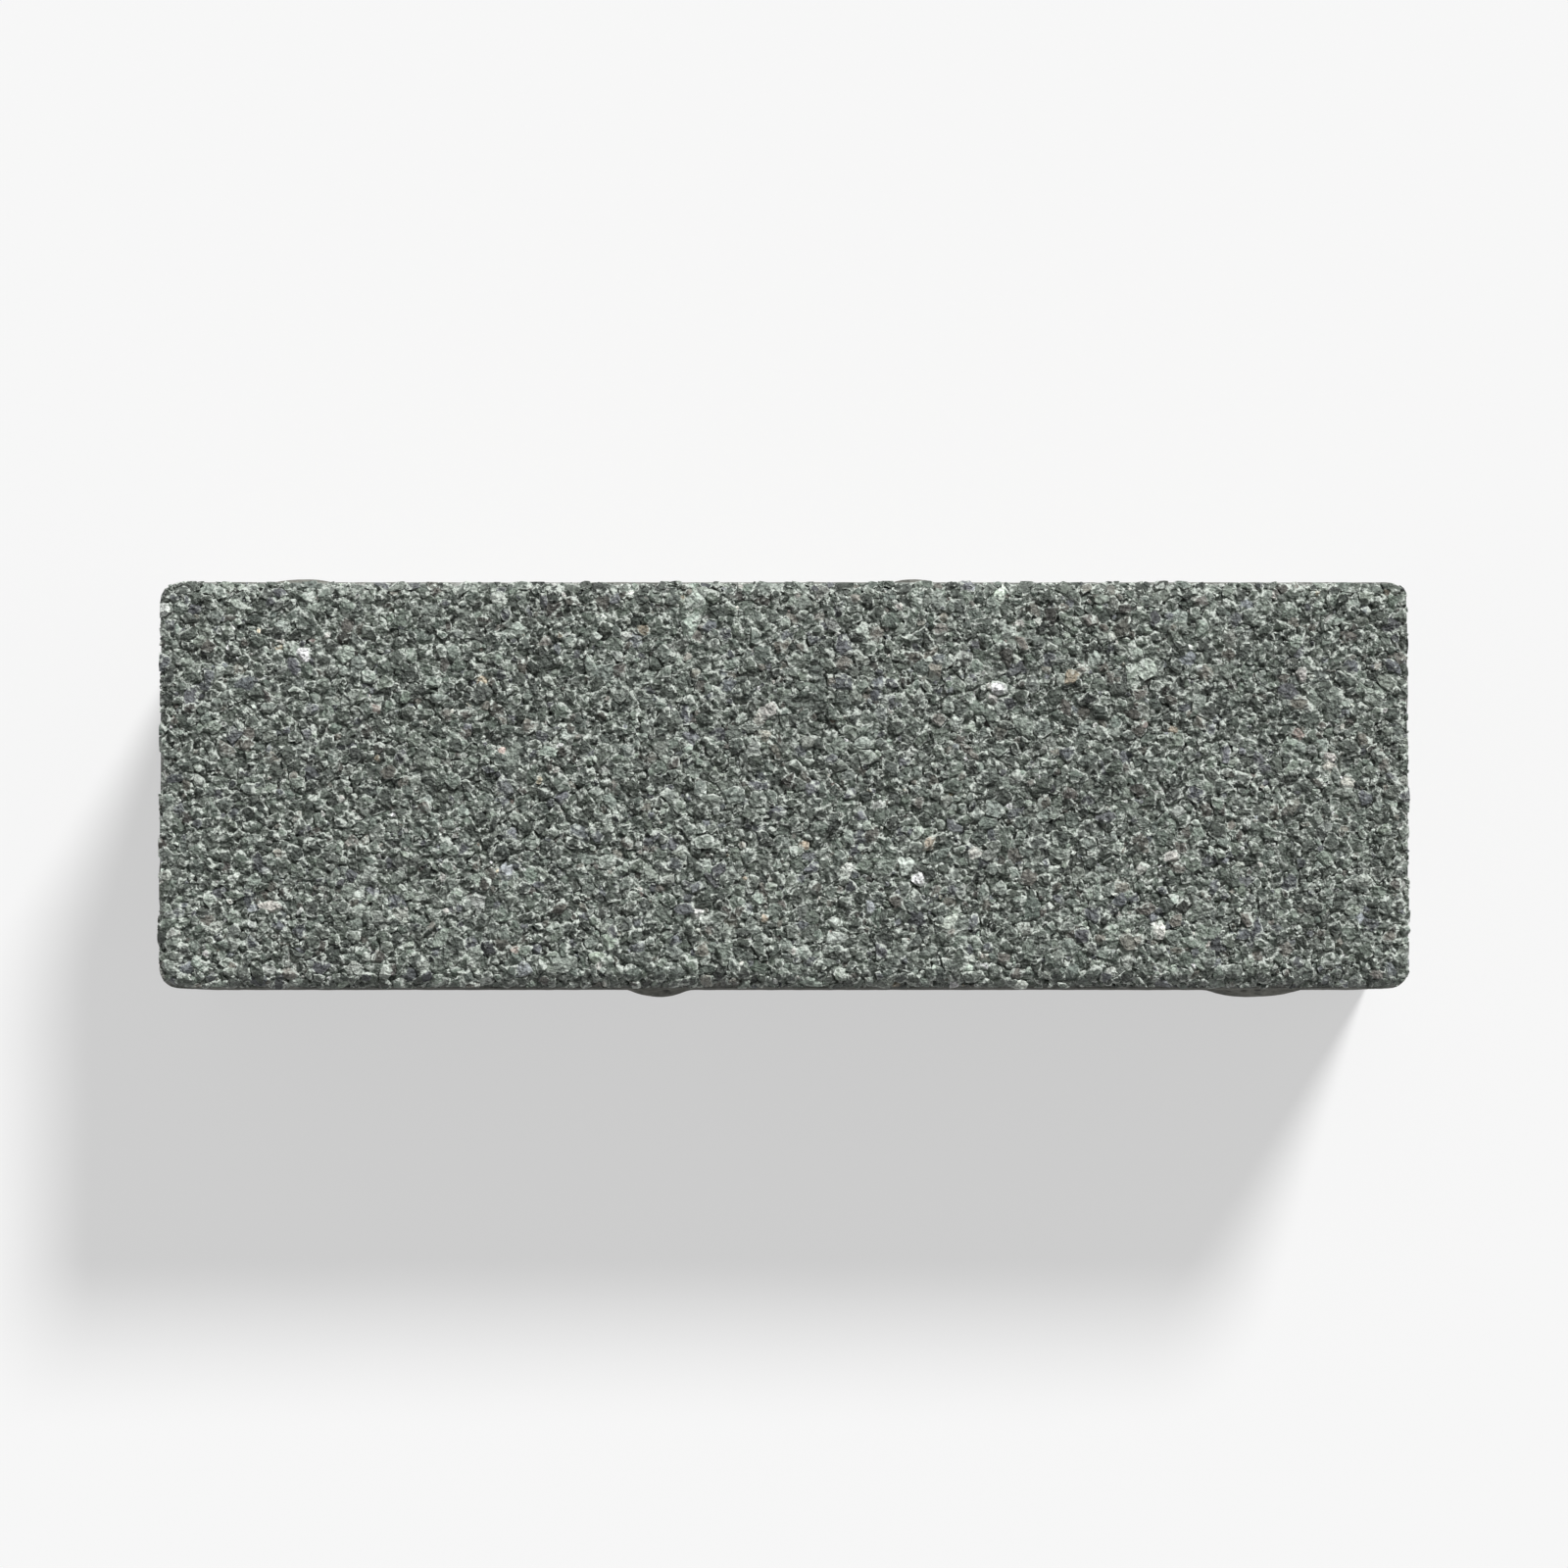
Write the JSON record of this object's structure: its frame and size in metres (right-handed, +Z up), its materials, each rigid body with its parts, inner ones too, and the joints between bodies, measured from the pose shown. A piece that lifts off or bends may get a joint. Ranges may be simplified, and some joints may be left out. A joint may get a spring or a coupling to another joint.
{
  "type": "concrete paving stone",
  "caption": "Long rectangular concrete paving stone with a washed, coarse-grained top face, rounded corners and low spacer nibs on its four sides that keep the joint open.",
  "frame": {"origin": "middle of the bed face that the stone lies on", "axes": "+Z up through the top face, +X along the length, +Y across the width"},
  "size_m": [0.3006, 0.1006, 0.08],
  "materials": {
    "concrete": "washed exposed aggregate on top, dense pressed sides"
  },
  "bodies": {
    "root": {"paving_stone": "concrete"}
  },
  "joints": []
}
